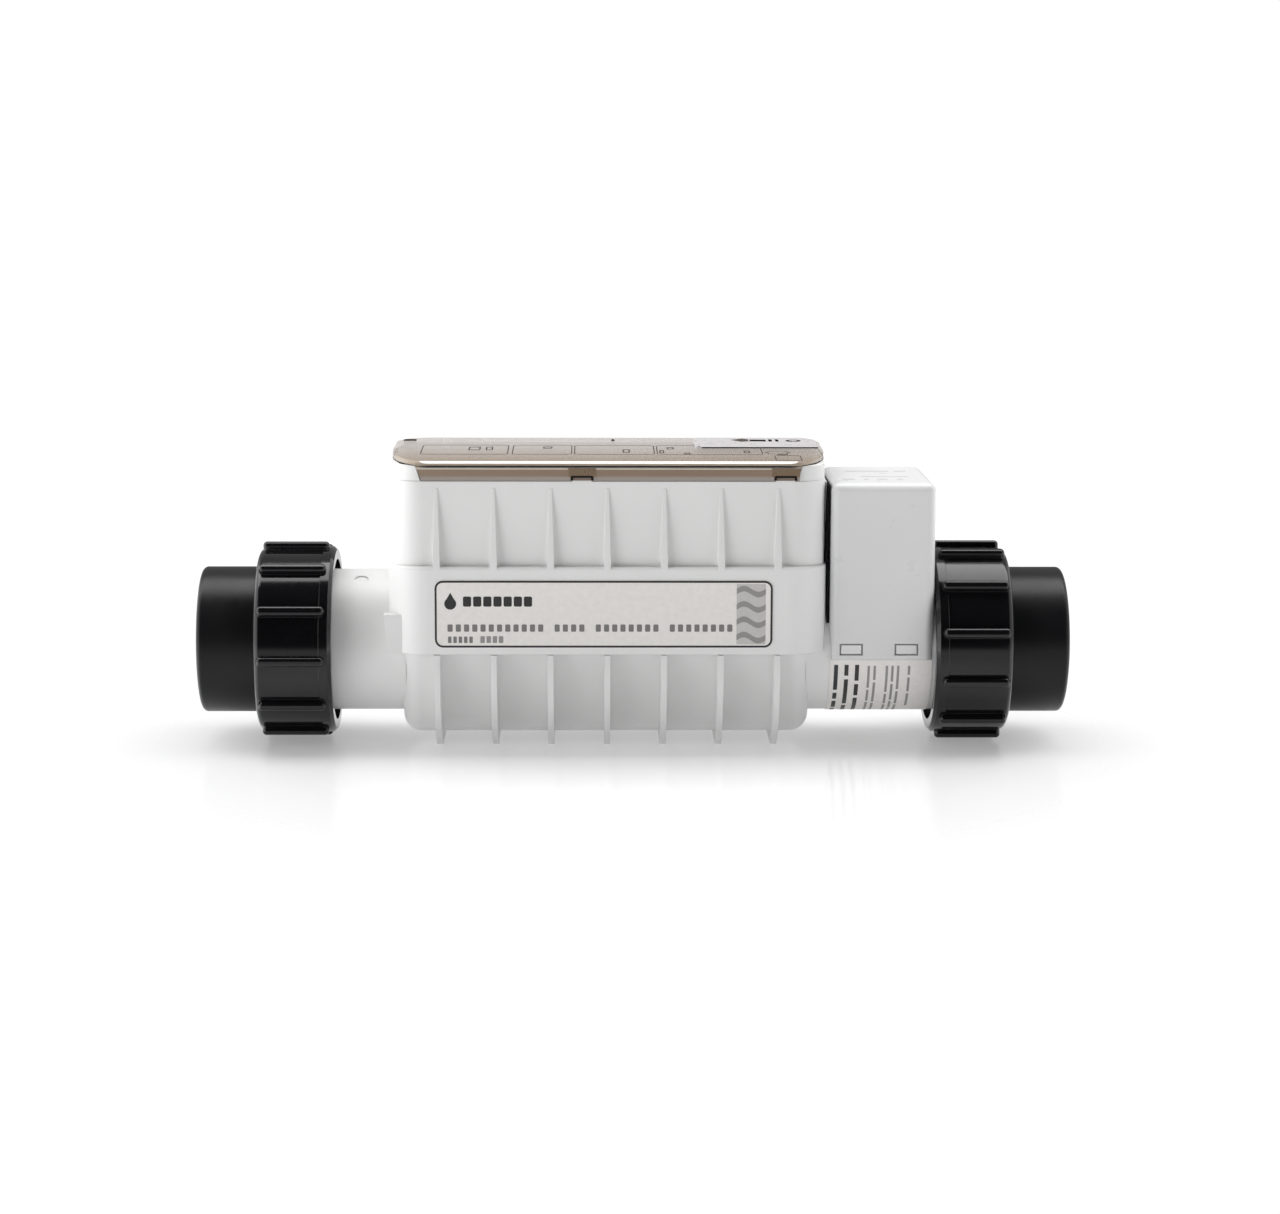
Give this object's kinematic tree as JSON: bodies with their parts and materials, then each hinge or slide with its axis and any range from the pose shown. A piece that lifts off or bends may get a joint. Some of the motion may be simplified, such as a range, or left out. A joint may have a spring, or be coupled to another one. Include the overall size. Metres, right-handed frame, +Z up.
{
  "type": "salt chlorine generator",
  "caption": "Inline salt chlorine generator: ribbed flow chamber with electronics box, hinged smoked lid, side sensor box and a threaded pipe union at each end.",
  "frame": {"origin": "on the surface the feet stand on, under the middle of the length", "axes": "+X along the water pipe towards the sensor box, +Y to the back where the lid is hinged, +Z up"},
  "size_m": [0.432, 0.0998, 0.1478],
  "materials": {
    "black_gloss": "gloss moulded",
    "black_satin": "satin moulded",
    "board_green": "solder mask",
    "button_rubber": "matte",
    "comb_plastic": "moulded",
    "component": "moulded",
    "keypad_film": "printed film",
    "label_grey": "printed film",
    "lamp": "diffused",
    "lead": "insulated",
    "magnet": "sintered",
    "seal_rubber": "matte",
    "smoked_clear": "translucent gloss",
    "steel": "plated",
    "titanium": "coated titanium",
    "white_abs": "satin moulded",
    "white_cover": "semi-gloss moulded"
  },
  "bodies": {
    "root": {"anode_plates": "titanium", "board_components": "component", "board_screws": "steel", "box_seal": "seal_rubber", "cathode_plates": "titanium", "cell_housing": "white_abs", "chamber_cover": "comb_plastic", "chamber_gasket": "seal_rubber", "control_board": "board_green", "control_deck": "white_abs", "cover_screws": "steel", "display_board": "board_green", "display_pillars": "comb_plastic", "display_switches": "component", "flow_switch_body": "comb_plastic", "front_label": "label_grey", "gland_body": "black_satin", "gland_cap": "black_satin", "gland_locknut": "black_satin", "hinge_pins": "steel", "keypad_overlay": "keypad_film", "left_union_oring": "seal_rubber", "neck_label": "label_grey", "paddle_pin": "titanium", "plate_combs": "comb_plastic", "port_seal": "seal_rubber", "power_leads": "lead", "reed_switch": "lamp", "right_union_oring": "seal_rubber", "salinity_probes": "titanium", "sensor_board": "board_green", "sensor_board_posts": "comb_plastic", "sensor_cover": "white_cover", "status_lamps": "lamp", "terminal_nuts": "steel", "terminal_posts": "titanium", "terminal_seals": "seal_rubber", "upper_housing": "white_abs"},
    "lid": {"lid": "smoked_clear", "lid_label": "label_grey"},
    "less_button": {"less_button": "button_rubber"},
    "more_button": {"more_button": "button_rubber"},
    "flow_paddle": {"flow_paddle": "comb_plastic", "paddle_magnet": "magnet"},
    "left_tail": {"left_tailpiece": "black_satin"},
    "left_nut": {"left_union_nut": "black_gloss"},
    "right_tail": {"right_tailpiece": "black_satin"},
    "right_nut": {"right_union_nut": "black_gloss"}
  },
  "joints": [
    {"name": "lid_hinge", "type": "hinge", "parent": "root", "child": "lid", "pos_m": [0, 0.0445, 0.143], "axis": [-1, 0, 0], "range_deg": [0, 105]},
    {"name": "less_press", "type": "slide", "parent": "root", "child": "less_button", "axis": [0, 0, -1], "range_m": [0, 0.0008], "stiffness_N_per_m": 600, "springref_m": -0.0004},
    {"name": "more_press", "type": "slide", "parent": "root", "child": "more_button", "axis": [0, 0, -1], "range_m": [0, 0.0008], "stiffness_N_per_m": 600, "springref_m": -0.0004},
    {"name": "paddle_swing", "type": "hinge", "parent": "root", "child": "flow_paddle", "pos_m": [0.122, 0, 0.074], "axis": [0, 1, 0], "range_deg": [0, 35]},
    {"name": "left_union_draw", "type": "slide", "parent": "root", "child": "left_tail", "axis": [-1, 0, 0], "range_m": [0, 0.015]},
    {"name": "left_nut_turn", "type": "hinge", "parent": "left_tail", "child": "left_nut", "pos_m": [-0.168, 0, 0.05], "axis": [-1, 0, 0], "range_deg": [0, 1350]},
    {"name": "right_union_draw", "type": "slide", "parent": "root", "child": "right_tail", "axis": [1, 0, 0], "range_m": [0, 0.015]},
    {"name": "right_nut_turn", "type": "hinge", "parent": "right_tail", "child": "right_nut", "pos_m": [0.168, 0, 0.05], "axis": [1, 0, 0], "range_deg": [0, 1350]}
  ],
  "couplings": [
    {"joint": "left_union_draw", "follows": "left_nut_turn", "m_per_rad": 0.00063662},
    {"joint": "right_union_draw", "follows": "right_nut_turn", "m_per_rad": 0.00063662}
  ]
}
